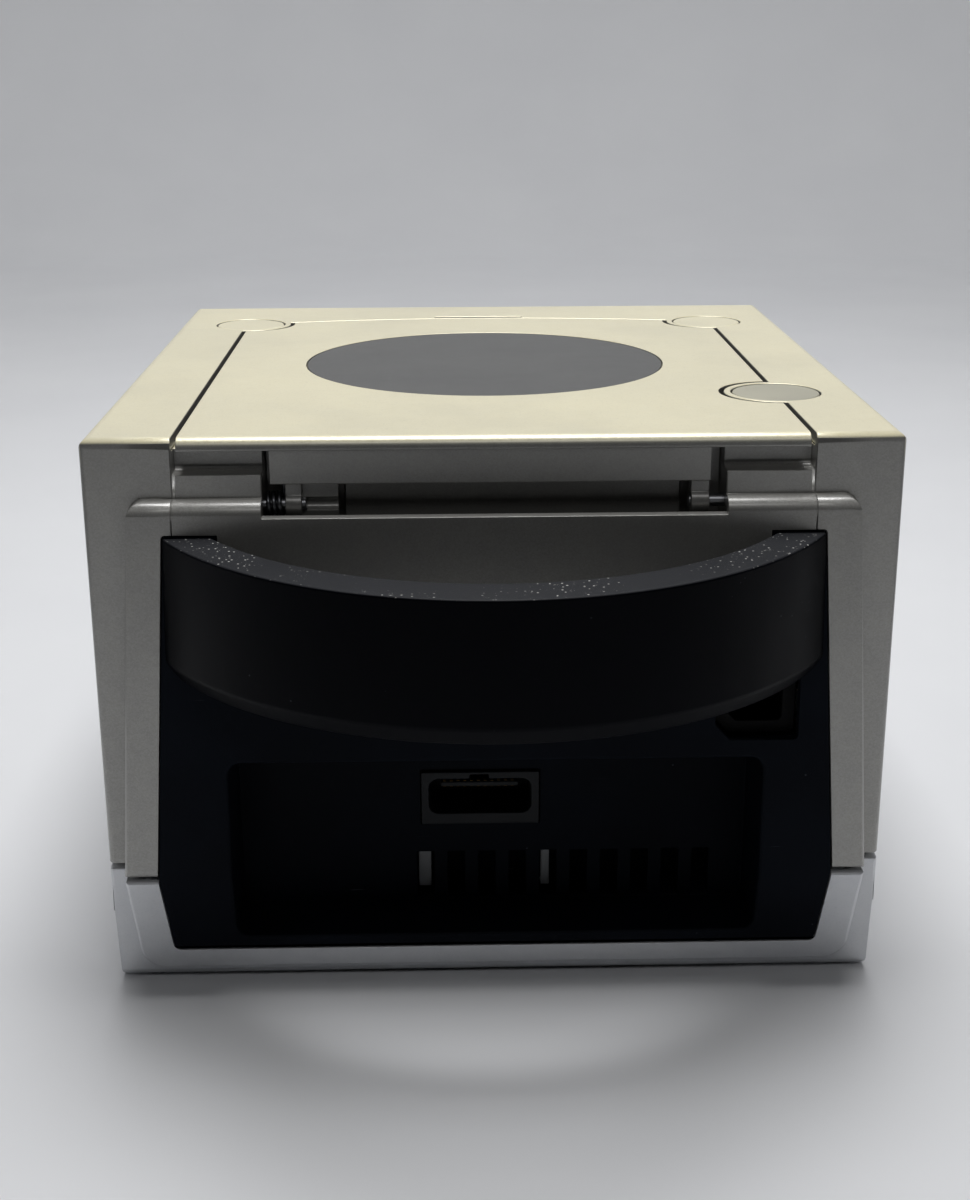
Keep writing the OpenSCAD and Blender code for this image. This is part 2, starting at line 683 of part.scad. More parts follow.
module heatsink() seated() color(metal) {
    block([-28, 28], [-32, 24], [17, 20.5]);
    for (x = [-27 : 4 : 26]) block([x, x + 1.2], [-32, 24], [20.4, 44]);
}

module fan_frame() seated() color("#232527") {
    difference() {
        block(fan_x, [-25, 25], [fan_z - 25, fan_z + 25]);
        rod_x(23.4, [0, far], 0, fan_z);
        for (y = [-21.5, 21.5], z = [-21.5, 21.5]) rod_x(1.8, [0, far], y, fan_z + z);
    }
    difference() {
        for (a = [0, 120, 240]) translate([fan_x[0], 0, fan_z]) rotate([a, 0, 0])
            translate([0, -1.2, 0]) cube([1.6, 2.4, 23.8]);
        rod_x(9, [0, far], 0, fan_z);
    }
    rod_x(9.2, [fan_x[0], fan_x[0] + 1.6], 0, fan_z);
    rod_x(1.5, [fan_x[0] + 1, fan_x[0] + 11], 0, fan_z);
}

module fan_rotor() seated() color("#2e3134") difference() {
    union() {
        rod_x(9.4, [fan_x[0] + 2.2, fan_x[0] + 13], 0, fan_z);
        for (a = [0 : 360 / 7 : 359]) translate([fan_x[0] + 7.6, 0, fan_z]) rotate([a, 0, 0])
            translate([0, 0, 8.6]) rotate([0, 0, 38]) translate([-0.7, -6, 0]) cube([1.4, 12, 13.2]);
    }
    rod_x(1.5 + fit, [0, fan_x[0] + 11.4], 0, fan_z);
}

module power_board() seated() color("#7a5a36") {
    difference() {
        block([-68, -27], [26, 64], [48, 49.6]);
        rod_z(1.6, [40, 60], [-64, 30]);
    }
    for (at = [[-60, 36], [-60, 48]]) rod_z(4.6, [49.6, 63], at);
    block([-38, -30], [34, 46], [49.6, 58]);
}

module controller_board() seated() color("#2f5a3c") block([-58, 58], [-66.8, -65.2], [42, 66]);

// Flat cable from the controller board down to the mainboard
module ribbon_cable() seated() color("#c9b48a") {
    block([-15, 15], [-65.1, -41.4], [44, 44.4]);
    block([-15, 15], [-41.8, -41.4], [16, 44.2]);
    block([-15, 15], [-45, -41.4], [15.7, 16.1]);
}

top_case();
bottom_case();
feet();
case_screws();
rear_panel();
handle();
handle_screws();
av_connector();
dc_inlet();
front_panel();
controller_socket_1();
controller_socket_2();
controller_socket_3();
controller_socket_4();
memory_slot_a();
memory_slot_b();
memory_door_a();
memory_door_b();
side_grille_left();
side_grille_right();
port_cover_front();
port_cover_left();
port_cover_right();
lid_cover();
lid_liner();
lid_emblem();
hinge_pins();
lid_spring();
lid_latch();
open_button();
reset_button();
power_button();
open_spring();
reset_spring();
power_spring();
power_light();
disc_tray();
drive_chassis();
spindle_motor();
spindle_hub();
laser_sled();
laser_lens();
sled_rails();
lead_screw();
sled_motor();
shield_plate();
mainboard();
heatsink();
fan_frame();
fan_rotor();
power_board();
controller_board();
ribbon_cable();
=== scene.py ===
"""Looks of a small cube-shaped disc game console with a carrying handle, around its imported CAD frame.

Places are in metres and come from the frame's own boxes. The rear of the console faces +Y and it stands
on z = 0. Radii of rounded edges are in mm.
"""

import json
import math

import bmesh
import bpy
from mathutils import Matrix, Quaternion, Vector

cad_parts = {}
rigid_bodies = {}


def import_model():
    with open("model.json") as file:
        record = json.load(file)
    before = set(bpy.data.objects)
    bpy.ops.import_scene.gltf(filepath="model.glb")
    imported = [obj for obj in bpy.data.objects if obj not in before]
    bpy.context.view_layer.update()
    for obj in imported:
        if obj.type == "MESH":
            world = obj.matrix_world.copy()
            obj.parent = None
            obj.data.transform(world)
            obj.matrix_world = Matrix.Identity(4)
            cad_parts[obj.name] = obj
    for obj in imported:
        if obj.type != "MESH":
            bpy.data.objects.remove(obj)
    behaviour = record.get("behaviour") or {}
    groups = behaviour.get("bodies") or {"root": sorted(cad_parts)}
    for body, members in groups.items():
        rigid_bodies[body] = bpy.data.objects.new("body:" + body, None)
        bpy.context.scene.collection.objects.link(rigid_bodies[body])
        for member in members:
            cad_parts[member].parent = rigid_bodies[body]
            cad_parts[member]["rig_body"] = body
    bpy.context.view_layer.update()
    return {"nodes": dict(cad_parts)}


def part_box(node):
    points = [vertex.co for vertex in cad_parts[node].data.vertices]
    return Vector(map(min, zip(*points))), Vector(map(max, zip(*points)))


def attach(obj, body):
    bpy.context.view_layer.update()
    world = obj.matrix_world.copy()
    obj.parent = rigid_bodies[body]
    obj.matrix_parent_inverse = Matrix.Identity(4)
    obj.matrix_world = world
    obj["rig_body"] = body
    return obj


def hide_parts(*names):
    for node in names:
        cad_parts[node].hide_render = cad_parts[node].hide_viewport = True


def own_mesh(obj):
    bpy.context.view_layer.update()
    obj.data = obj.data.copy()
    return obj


MM = 0.001
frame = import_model()

# Places that the pieces share: the high corners of some boxes, the middle of the case from front to rear,
# and how far its front and rear walls stand from there.
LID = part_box("lid_cover")[1]
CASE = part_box("top_case")[1]
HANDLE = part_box("handle")[1]
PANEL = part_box("rear_panel")
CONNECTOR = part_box("av_connector")
MIDDLE = (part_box("top_case")[0].y + CASE.y) / 2
WALL = LID.y - MIDDLE


# ---- Camera, stage and lights ----


def make_camera():
    """Behind the console and above it, looking down at its rear wall."""
    tilt, pan, roll = (math.radians(a) for a in (17.885, 1.335, -0.206))
    camera = bpy.data.objects.new("camera", bpy.data.cameras.new("camera"))
    bpy.context.scene.collection.objects.link(camera)
    camera.data.lens = 52.24
    camera.data.sensor_width = 36
    camera.location = (0.009055, 0.371905, 0.178467)
    forward = Vector(
        (-math.sin(pan) * math.cos(tilt), -math.cos(pan) * math.cos(tilt), -math.sin(tilt))
    )
    camera.rotation_mode = "QUATERNION"
    camera.rotation_quaternion = forward.to_track_quat("-Z", "Y") @ Quaternion((0, 0, 1), roll)
    camera.data.clip_start = 0.01
    bpy.context.scene.camera = camera


def rgb(r, g, b):
    """Linear colour, with alpha, of an sRGB colour given as 0 to 255."""
    return tuple(
        c / 255 / 12.92 if c <= 10 else ((c / 255 + 0.055) / 1.055) ** 2.4 for c in (r, g, b)
    ) + (1.0,)


def lathe_faces(bm, profile, segments, start=0.0, sweep=2 * math.pi):
    """Turns a profile of (radius, height) about the z axis."""
    closed = sweep == 2 * math.pi
    count = segments if closed else segments + 1
    angles = [start + sweep * k / segments for k in range(count)]
    rings = []
    for r, z in profile:
        if r == 0:
            rings.append([bm.verts.new((0, 0, z))])
        else:
            rings.append([bm.verts.new((r * math.cos(a), r * math.sin(a), z)) for a in angles])
    for low, high in zip(rings, rings[1:]):
        for k in range(segments):
            a = low[k % len(low)]
            b = low[(k + 1) % len(low)]
            c = high[(k + 1) % len(high)]
            d = high[k % len(high)]
            corners = list(dict.fromkeys((a, b, c, d)))
            if len(corners) > 2:
                bm.faces.new(corners)


def make_stage():
    """A pale table that sweeps up into a backdrop. The half behind the camera gives no light back."""
    paper = Shader("stage_paper")
    at = paper.object_coords()
    mottle = paper.noise(at, 9, 3, 0.5)
    paper.set("Base Color", paper.mix(mottle, rgb(222, 223, 226), rgb(231, 232, 234)))
    paper.set("Roughness", 0.85)
    paper.set("Specular IOR Level", 0.2)
    flat, bend, top = 1.15, 0.35, 1.5
    curve = [
        (flat + bend * math.sin(a), bend * (1 - math.cos(a)))
        for a in (math.pi / 2 * k / 12 for k in range(13))
    ]
    for name, start in (("stage_far", math.pi), ("stage_near", 0.0)):
        bm = bmesh.new()
        lathe_faces(bm, [(flat, 0), *curve[1:], (flat + bend, top)], 48, start, math.pi)
        wall = mesh_object(name, bm, paper.material)
        if name == "stage_near":
            wall.visible_diffuse = False
            wall.visible_glossy = False
            wall.visible_shadow = False
    bm = bmesh.new()
    lathe_faces(bm, [(0, 0), (0.2, 0), (0.5, 0), (flat, 0)], 96)
    mesh_object("stage_floor", bm, paper.material)


def area_light(name, at, aim, size, watts):
    """A white rectangular light at one place, facing another."""
    data = bpy.data.lights.new(name, "AREA")
    data.shape = "RECTANGLE"
    data.size, data.size_y = size
    data.energy = watts
    light = bpy.data.objects.new(name, data)
    light.location = at
    light.rotation_mode = "QUATERNION"
    light.rotation_quaternion = (Vector(aim) - Vector(at)).to_track_quat("-Z", "Y")
    bpy.context.scene.collection.objects.link(light)


def make_lights():
    """A soft panel overhead with a brighter part over the handle, a low strip behind the camera that draws
    thin bright lines along the rear edges, and a wide panel that lights the backdrop alone.
    """
    panel, core, backdrop = (-0.015, -0.15), (-0.02, 0.06), (0, -1.5, 0.95)
    area_light("light_top", (*panel, 0.85), (*panel, 0), size=(0.38, 0.5), watts=5.8)
    area_light("light_core", (*core, 0.845), (*core, 0), size=(0.22, 0.16), watts=0.8)
    area_light("light_rear", (-0.05, 0.72, 0.8), (0, 0.05, 0.08), size=(0.5, 0.16), watts=0.7)
    area_light("light_back", (0, -1.15, 1.3), backdrop, size=(1.6, 0.4), watts=5.6)
    world = bpy.data.worlds.new("studio")
    bpy.context.scene.world = world
    world.use_nodes = True
    glow = world.node_tree.nodes["Background"].inputs
    glow["Color"].default_value = (0.64, 0.64, 0.66, 1)
    glow["Strength"].default_value = 0.03
    bpy.context.scene.view_settings.view_transform = "Standard"
    bpy.context.scene.view_settings.look = "None"


# ---- Materials ----


class Shader:
    """A material with one Principled shader, and short ways to add the nodes that feed it."""

    def __init__(self, name):
        self.material = bpy.data.materials.new(name)
        self.material.use_nodes = True
        self.tree = self.material.node_tree
        self.out = self.tree.nodes["Principled BSDF"]

    def node(self, kind, inputs=None, **settings):
        made = self.tree.nodes.new(kind)
        for key, value in settings.items():
            setattr(made, key, value)
        for key, value in (inputs or {}).items():
            self.feed(made.inputs[key], value)
        return made

    def feed(self, socket, value):
        """Links a socket to another node's output, or gives it a constant."""
        if isinstance(value, bpy.types.NodeSocket):
            self.tree.links.new(value, socket)
        else:
            socket.default_value = value

    def set(self, name, value):
        self.feed(self.out.inputs[name], value)

    def object_coords(self, stretch=None):
        coords = self.node("ShaderNodeTexCoord").outputs["Object"]
        if stretch is None:
            return coords
        return self.node(
            "ShaderNodeMapping", {"Vector": coords, "Scale": stretch}
        ).outputs["Vector"]

    def split(self, vector):
        return self.node("ShaderNodeSeparateXYZ", {"Vector": vector}).outputs

    def noise(self, at, scale, detail=2, roughness=0.5, distortion=0.0):
        return self.node("ShaderNodeTexNoise", {
            "Vector": at, "Scale": scale, "Detail": detail, "Roughness": roughness,
            "Distortion": distortion,
        }).outputs["Fac"]

    def cells(self, at, scale, output="Color", feature="F1"):
        return self.node(
            "ShaderNodeTexVoronoi", {"Vector": at, "Scale": scale}, feature=feature
        ).outputs[output]

    def math(self, operation, a, b=0.0):
        return self.node("ShaderNodeMath", {0: a, 1: b}, operation=operation).outputs[0]

    def span(self, value, low, high, to_low=0.0, to_high=1.0, kind="SMOOTHSTEP"):
        return self.node("ShaderNodeMapRange", {
            "Value": value, "From Min": low, "From Max": high, "To Min": to_low,
            "To Max": to_high,
        }, interpolation_type=kind).outputs["Result"]

    def mix(self, factor, a, b, blend="MIX"):
        """Mixes two colours. A mix node's colour sockets are its seventh, eighth and third."""
        made = self.tree.nodes.new("ShaderNodeMix")
        made.data_type = "RGBA"
        made.blend_type = blend
        for key, value in (("Factor", factor), (6, a), (7, b)):
            self.feed(made.inputs[key], value)
        return made.outputs[2]

    def bump(self, height, strength, distance, normal=None):
        inputs = {"Height": height, "Strength": strength, "Distance": distance}
        if normal is not None:
            inputs["Normal"] = normal
        return self.node("ShaderNodeBump", inputs).outputs["Normal"]

    def normal_z(self):
        """Upward part of the surface normal, in the piece's own frame."""
        return self.split(self.node("ShaderNodeTexCoord").outputs["Normal"])["Z"]


def pearl_material(name, aged_and_lit, side, flake, sill=None):
    """Moulded plastic with mica flakes. Above the height sill, where it faces up, it has yellowed, and its
    colour there is also painted much brighter than the sides as painted light from above.
    """
    s = Shader(name)
    at = s.object_coords()
    patch = s.noise(at, 22, 3, 0.55)
    colour = side
    # Painted light: the up-facing top takes a far brighter colour than the sides, standing for the lit top
    # and the shaded walls of one plastic; only its yellow tint is real ageing.
    if sill is not None:
        age_and_light = s.math("MULTIPLY", s.span(s.normal_z(), 0.15, 0.85), s.span(patch, 0.2, 0.8, 0.86, 1.0))
        age_and_light = s.math("MULTIPLY", age_and_light, s.span(s.split(at)["Z"], sill - 3 * MM, sill))
        colour = s.mix(age_and_light, side, aged_and_lit)
    mottle = s.noise(at, 320, 2, 0.6)
    colour = s.mix(s.span(mottle, 0.3, 0.7, 0.0, 0.10), colour, rgb(255, 252, 240), "SOFT_LIGHT")
    grain = s.cells(at, 3800)
    speck = s.split(grain)["X"]
    colour = s.mix(s.span(speck, 0.0, 1.0, 0.0, flake, "LINEAR"), colour, rgb(250, 250, 250))
    colour = s.mix(s.span(s.split(grain)["Y"], 0.8, 1.0, 0.0, flake), colour, rgb(120, 118, 112))
    smear = s.span(s.noise(s.object_coords((30, 30, 8)), 1.0, 3, 0.6), 0.45, 0.75, 0.0, 0.10)
    colour = s.mix(smear, colour, rgb(138, 136, 128))
    s.set("Base Color", colour)
    s.set("Roughness", s.span(speck, 0.0, 1.0, 0.30, 0.44, "LINEAR"))
    flat = s.span(s.normal_z(), 0.2, 0.9, 1.0, 0.25)
    s.set("Metallic", s.math("MULTIPLY", s.span(speck, 0.0, 1.0, 0.3, 0.7, "LINEAR"), flat))
    s.set("Specular IOR Level", 0.7)
    s.set("Coat Weight", 0.6)
    s.set("Coat Roughness", 0.18)
    peel = s.bump(s.noise(at, 900, 2, 0.5), 0.08, 0.0002)
    s.set("Normal", s.bump(speck, 0.06, 0.0001, peel))
    return s.material


def dark_material(name, base, light, dusty, rough, gloss):
    """Near-black moulded plastic with a fine spark-eroded grain, dust and hairline scuffs."""
    s = Shader(name)
    at = s.object_coords()
    grain = s.noise(at, 4200, 2, 0.6)
    broad = s.noise(at, 35, 3, 0.5)
    colour = s.mix(s.span(broad, 0.35, 0.7), base, light)
    colour = s.mix(s.span(grain, 0.45, 0.75, 0.0, 0.25), colour, light)
    hair = s.noise(s.object_coords((60, 60, 900)), 1.0, 2, 0.7, 0.6)
    scuff = s.math("MULTIPLY", s.span(hair, 0.735, 0.76), s.span(broad, 0.45, 0.6))
    fleck = s.math("MULTIPLY", s.span(s.cells(at, 420, "Distance"), 0.10, 0.05),
                   s.span(s.noise(at, 110, 2), 0.6, 0.66))
    mark = s.math("MAXIMUM", scuff, fleck)
    colour = s.mix(s.math("MULTIPLY", mark, 0.3), colour, rgb(96, 100, 106))
    if dusty:
        up = s.span(s.normal_z(), 0.5, 0.95)
        specks = s.cells(at, 900, "Distance")
        lint = s.noise(s.object_coords((900, 900, 900)), 1.0, 3, 0.8, 1.5)
        where = s.math("MULTIPLY", up, s.span(s.noise(at, 60, 3), 0.44, 0.62))
        dots = s.math("MAXIMUM", s.span(specks, 0.21, 0.12), s.span(lint, 0.66, 0.71))
        dust = s.math("MULTIPLY", s.math("MULTIPLY", dots, where), dusty)
        # Faces that look up are made an even lighter grey than the near-black sides, apart from the dust
        # specks below.
        colour = s.mix(s.math("MULTIPLY", up, 0.85), colour, rgb(50, 51, 54))
        colour = s.mix(dust, colour, rgb(190, 190, 186))
    s.set("Base Color", colour)
    s.set("Roughness", s.span(broad, 0.3, 0.7, rough - 0.05, rough + 0.08, "LINEAR"))
    s.set("Specular IOR Level", gloss)
    s.set("Normal", s.bump(grain, 0.22, 0.00012))
    return s.material


def satin_material(name, base, light, rough=0.38, grain_scale=5200, gloss=0.45):
    """Painted or moulded satin surface with a very fine even grain."""
    s = Shader(name)
    at = s.object_coords()
    grain = s.noise(at, grain_scale, 2, 0.6)
    smudge = s.noise(at, 45, 3, 0.55)
    colour = s.mix(s.span(smudge, 0.3, 0.7), base, light)
    s.set("Base Color", s.mix(s.span(grain, 0.4, 0.7, 0.0, 0.3), colour, light))
    s.set("Roughness", s.span(smudge, 0.3, 0.7, rough, rough + 0.1, "LINEAR"))
    s.set("Specular IOR Level", gloss)
    s.set("Normal", s.bump(grain, 0.15, 0.0001))
    return s.material


def metal_material(name, base, rough=0.3, brushed=(40, 4000, 4000)):
    """Brushed or drawn metal."""
    s = Shader(name)
    lines = s.noise(s.object_coords(brushed), 1.0, 2, 0.6)
    stain = s.noise(s.object_coords(), 70, 3, 0.5)
    s.set("Base Color", s.mix(s.span(stain, 0.35, 0.7, 0.0, 0.35), base, rgb(120, 122, 126)))
    s.set("Metallic", 1.0)
    s.set("Roughness", s.span(lines, 0.3, 0.7, rough, rough + 0.18, "LINEAR"))
    s.set("Normal", s.bump(lines, 0.08, 0.0001))
    return s.material


def rubber_material():
    """Soft grey rubber, a little worn."""
    s = Shader("foot_rubber")
    at = s.object_coords()
    grain = s.noise(at, 2600, 3, 0.7)
    wear = s.noise(at, 120, 3, 0.6)
    s.set("Base Color", s.mix(s.span(wear, 0.3, 0.7), rgb(120, 122, 124), rgb(158, 160, 162)))
    s.set("Roughness", 0.78)
    s.set("Normal", s.bump(grain, 0.4, 0.0001))
    return s.material


def board_material():
    """Circuit board: lacquer over copper tracks, with tinned pads."""
    s = Shader("circuit_board")
    at = s.object_coords()
    tracks = s.cells(s.object_coords((1, 1, 0.01)), 420, "Distance", "DISTANCE_TO_EDGE")
    track = s.span(tracks, 0.10, 0.06)
    pads = s.cells(s.object_coords((1, 1, 0.01)), 260, "Distance")
    pad = s.span(pads, 0.13, 0.10)
    lacquer = s.mix(s.noise(at, 60, 3), rgb(26, 74, 46), rgb(38, 96, 60))
    colour = s.mix(s.math("MULTIPLY", track, 0.5), lacquer, rgb(70, 128, 84))
    s.set("Base Color", s.mix(pad, colour, rgb(196, 190, 170)))
    s.set("Metallic", s.math("MULTIPLY", pad, 0.8))
    s.set("Roughness", s.span(pad, 0, 1, 0.42, 0.28, "LINEAR"))
    s.set("Normal", s.bump(s.math("ADD", track, pad), 0.3, 0.0001))
    return s.material


def flex_material():
    """Flat cable with parallel conductors under clear film."""
    s = Shader("flex_cable")
    x = s.split(s.object_coords())["X"]
    wave = s.math("SINE", s.math("MULTIPLY", x, 2 * math.pi / (1.25 * MM)))
    line = s.span(wave, -0.1, 0.3)
    s.set("Base Color", s.mix(line, rgb(222, 214, 190), rgb(176, 160, 126)))
    s.set("Roughness", 0.35)
    s.set("Normal", s.bump(line, 0.4, 0.0001))
    return s.material


def lens_material():
    """Coated glass of the laser's lens."""
    s = Shader("optics")
    tint = s.noise(s.object_coords(), 300, 2)
    s.set("Base Color", s.mix(tint, rgb(120, 160, 205), rgb(150, 120, 200)))
    s.set("Roughness", 0.05)
    s.set("Transmission Weight", 0.6)
    s.set("Coat Weight", 1.0)
    return s.material


def window_material():
    """Smoky light guide with fine ribs."""
    s = Shader("light_lens")
    x = s.split(s.object_coords())["X"]
    ribs = s.math("SINE", s.math("MULTIPLY", x, 2 * math.pi / (0.9 * MM)))
    s.set("Base Color", s.mix(s.span(ribs, -1, 1), rgb(92, 80, 60), rgb(128, 112, 84)))
    s.set("Roughness", 0.2)
    s.set("Transmission Weight", 0.25)
    s.set("Normal", s.bump(ribs, 0.3, 0.0001))
    return s.material


def make_materials():
    """Every material, by the short name that the pieces use."""
    # The first colour is the pearl's yellowed top, painted brighter as lit from above; the next is the same
    # pearl painted darker as its shaded walls.
    aged_and_lit = rgb(240, 231, 192)
    side = rgb(143, 142, 138)
    pale = rgb(206, 208, 212)
    black = (rgb(2, 3, 7), rgb(4, 5, 10))
    blue_black = (rgb(10, 13, 19), rgb(15, 19, 26))
    soot = (rgb(2, 2, 3), rgb(4, 4, 5))
    return {
        "pearl": pearl_material("pearl_shell", aged_and_lit, side, 0.10, LID.z - 2.5 * MM),
        "grey": pearl_material("grey_shell", side, pale, 0.06),
        "dark": dark_material("dark_plastic", *blue_black, 0.0, 0.46, 0.04),
        "handle": dark_material("handle_plastic", *black, 0.9, 0.40, 0.05),
        "inlet": dark_material("inlet_plastic", *soot, 0.0, 0.5, 0.1),
        "socket": satin_material("socket_plastic", rgb(30, 31, 35), rgb(40, 42, 46)),
        "housing": satin_material("connector_housing", rgb(24, 25, 28), rgb(34, 36, 38), gloss=0.15),
        "badge": satin_material("badge", rgb(74, 74, 73), rgb(82, 82, 81), 0.36),
        "button": satin_material("button_grey", rgb(158, 155, 139), rgb(168, 165, 148), 0.4),
        "tray": satin_material("tray_black", rgb(24, 25, 27), rgb(34, 36, 39), 0.45, 3000),
        "steel": metal_material("steel", rgb(186, 188, 192)),
        "clip": satin_material("clip_metal", rgb(150, 152, 154), rgb(190, 192, 194), 0.3),
        "wire": metal_material("spring_wire", rgb(120, 122, 126), 0.25, (3000, 3000, 3000)),
        "sink": metal_material("heatsink_metal", rgb(200, 202, 206), 0.35, (3000, 60, 3000)),
        "gold": metal_material("contacts", rgb(132, 108, 62), 0.35, (900, 900, 900)),
        "rubber": rubber_material(),
        "board": board_material(),
        "flex": flex_material(),
        "lens": lens_material(),
        "window": window_material(),
    }


# ---- Mesh tools ----


FLAT = math.radians(0.9)
SHARP = math.radians(26)
BEVEL_MAX = 1.2
SHARE = 0.42
BEVEL_STEPS = 3


def mesh_object(name, bm, material):
    """A smooth-shaded object made from a bmesh, with one material."""
    bmesh.ops.recalc_face_normals(bm, faces=bm.faces)
    mesh = bpy.data.meshes.new(name)
    bm.to_mesh(mesh)
    bm.free()
    mesh.materials.append(material)
    for p in mesh.polygons:
        p.use_smooth = True
    obj = bpy.data.objects.new(name, mesh)
    bpy.context.scene.collection.objects.link(obj)
    return obj


def openness(edge, flat):
    """Smallest angle between a flat edge and the hard edges that it meets."""
    least = math.pi
    for v in edge.verts:
        along = edge.other_vert(v).co - v.co
        for other in v.link_edges:
            if other not in flat:
                least = min(least, along.angle(other.other_vert(v).co - v.co, 0.0))
    return least


def solid_of(node):
    """The CAD node's solid, closed again where its mesh was split, with its flat faces joined.

    A face round a hole keeps a few cuts, and those left are the ones that meet its rim squarely.
    """
    bm = bmesh.new()
    bm.from_mesh(frame["nodes"][node].data)
    bmesh.ops.remove_doubles(bm, verts=bm.verts, dist=1e-6)
    flat = {e for e in bm.edges if len(e.link_faces) == 2 and e.calc_face_angle(1.0) < FLAT}
    order = sorted(((openness(e, flat), e.index, e) for e in flat), key=lambda item: item[:2])
    for _, _, e in order:
        if e.is_valid and len(e.link_faces) == 2:
            bmesh.utils.face_join(e.link_faces)
    return bm


def room(edge):
    """Largest rounding, in mm, that the edges across this one's ends leave room for.

    An edge counts as across when it is more than some 53 degrees away from this one's line.
    """
    most = BEVEL_MAX
    for v in edge.verts:
        along = (edge.other_vert(v).co - v.co).normalized()
        for other in v.link_edges:
            line = other.other_vert(v).co - v.co
            if other is not edge and abs(along.dot(line.normalized())) < 0.6:
                most = min(most, SHARE * line.length / MM)
    return most


def refine(node, material, rule):
    """A copy of a CAD node with its hard edges rounded. rule is a radius, or a function of an edge."""
    bm = solid_of(node)
    weights = bm.edges.layers.float.new("bevel_weight_edge")
    for e in bm.edges:
        if len(e.link_faces) != 2:
            continue
        angle = e.calc_face_angle_signed(0.0)
        if abs(angle) < SHARP:
            continue
        radius = rule(e, angle) if callable(rule) else rule
        e[weights] = min(radius, room(e)) / BEVEL_MAX
    obj = mesh_object(f"{node}_shell", bm, material)
    bevel = obj.modifiers.new("rounding", "BEVEL")
    bevel.limit_method = "WEIGHT"
    bevel.width = BEVEL_MAX * MM
    bevel.segments = BEVEL_STEPS
    bevel.use_clamp_overlap = False
    bevel.miter_outer = "MITER_ARC"
    shade = obj.modifiers.new("shading", "WEIGHTED_NORMAL")
    shade.keep_sharp = True
    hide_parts(node)
    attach(obj, frame["nodes"][node]["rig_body"])


# ---- Shells: the CAD's own solids with their edges rounded ----

KEPT = 0.0
CRISP = 0.15
SOFT = 0.3
CORNER = 1.9 * MM
RECESS_SIDE = 13.5 * MM
RECESS_TOP = 42 * MM


def centre_of(edge):
    return (edge.verts[0].co + edge.verts[1].co) / 2


def at_case_corner(x, out, z):
    """Whether a place is where an upright corner of the case meets its top or its foot."""
    upright = 4.9 * MM < z < CASE.z - 3.2 * MM
    return x > CASE.x - CORNER and out > WALL - CORNER and not upright


def at_pillar(x, out, z):
    """Whether a place is on the fine lines beside the lid, on the pillars above the handle."""
    return LID.x - 0.3 * MM < x < LID.x + 1.6 * MM and out > WALL - 0.6 * MM and z > HANDLE.z


def case_rule(e, angle):
    """Rounding of an edge of the case. The rim of a plaque is the softest, and corners keep their shape."""
    at = centre_of(e)
    x, out = abs(at.x), abs(at.y - MIDDLE)
    if at_case_corner(x, out, at.z) or at_pillar(x, out, at.z):
        return KEPT
    if out <= WALL + 0.2 * MM:
        return SOFT
    rim = x > PANEL[1].x + 0.9 * MM or at.z < PANEL[0].z - 1.2 * MM
    if not rim:
        return 0.12
    if at.z > HANDLE.z + 1.2 * MM:
        return KEPT
    facing = sorted(abs(f.normal.y) for f in e.link_faces)
    outer = angle > 0 and facing[0] < 0.35 and facing[1] > 0.7
    return 0.85 if outer else SOFT


def panel_rule(e, angle):
    """Rounding of an edge of the rear panel. The rim of its cable recess is the softest."""
    at = centre_of(e)
    inside = abs(at.x) < PANEL[1].x - RECESS_SIDE and at.z < PANEL[0].z + RECESS_TOP
    proud = at.y > CONNECTOR[1].y + 5 * MM
    return 0.7 if angle > 0 and inside and proud else CRISP


# Node: material, slot, and the radius or the rule for its edges
SHELLS = {
    "bottom_case": ("grey", "grey_shell", case_rule),
    "top_case": ("pearl", "pearl_shell", case_rule),
    "rear_panel": ("dark", "dark_plastic", panel_rule),
    "handle": ("handle", "dark_plastic", 0.5),
    "av_connector": ("housing", "socket_plastic", 0.25),
    "dc_inlet": ("inlet", "socket_plastic", 0.25),
    "front_panel": ("dark", "dark_plastic", 0.18),
    "side_grille_left": ("dark", "dark_plastic", 0.3),
    "side_grille_right": ("dark", "dark_plastic", 0.3),
    "lid_cover": ("pearl", "pearl_shell", 0.2),
    "lid_emblem": ("badge", "badge", 0.25),
    "hinge_pins": ("steel", "steel", 0.2),
    "open_button": ("pearl", "pearl_shell", 0.35),
    "reset_button": ("pearl", "pearl_shell", 0.35),
    "power_button": ("button", "button_grey", 0.35),
    "power_light": ("window", "light_lens", 0.3),
    "disc_tray": ("tray", "tray_black", 0.3),
    "spindle_hub": ("tray", "tray_black", 0.3),
    "feet": ("rubber", "foot_rubber", 0.3),
}

# ---- Small pieces ----


def tube(bm, path, radius, sides=12):
    """A closed round wire along a path of points."""
    rings = []
    up = None
    for i, point in enumerate(path):
        ahead = (path[min(i + 1, len(path) - 1)] - path[max(i - 1, 0)]).normalized()
        if up is None:
            up = ahead.orthogonal().normalized()
        up = (up - ahead * up.dot(ahead)).normalized()
        side = ahead.cross(up)
        rings.append([
            bm.verts.new(point + radius * (up * math.cos(a) + side * math.sin(a)))
            for a in (2 * math.pi * k / sides for k in range(sides))
        ])
    for low, high in zip(rings, rings[1:]):
        for k in range(sides):
            bm.faces.new((low[k], low[(k + 1) % sides], high[(k + 1) % sides], high[k]))
    bm.faces.new(rings[0][::-1])
    bm.faces.new(rings[-1])


def slab(bm, low, high, soft=0.1 * MM):
    """A block between two corners, its edges chamfered by soft."""
    made = bmesh.ops.create_cube(bm, size=1)["verts"]
    size = high - low
    bmesh.ops.scale(bm, vec=size, verts=made)
    bmesh.ops.translate(bm, vec=(low + high) / 2, verts=made)
    edges = list({e for v in made for e in v.link_edges})
    bmesh.ops.bevel(
        bm, geom=edges, offset=min(soft, min(size) * 0.3), offset_type="OFFSET", segments=2,
        profile=0.5, affect="EDGES",
    )


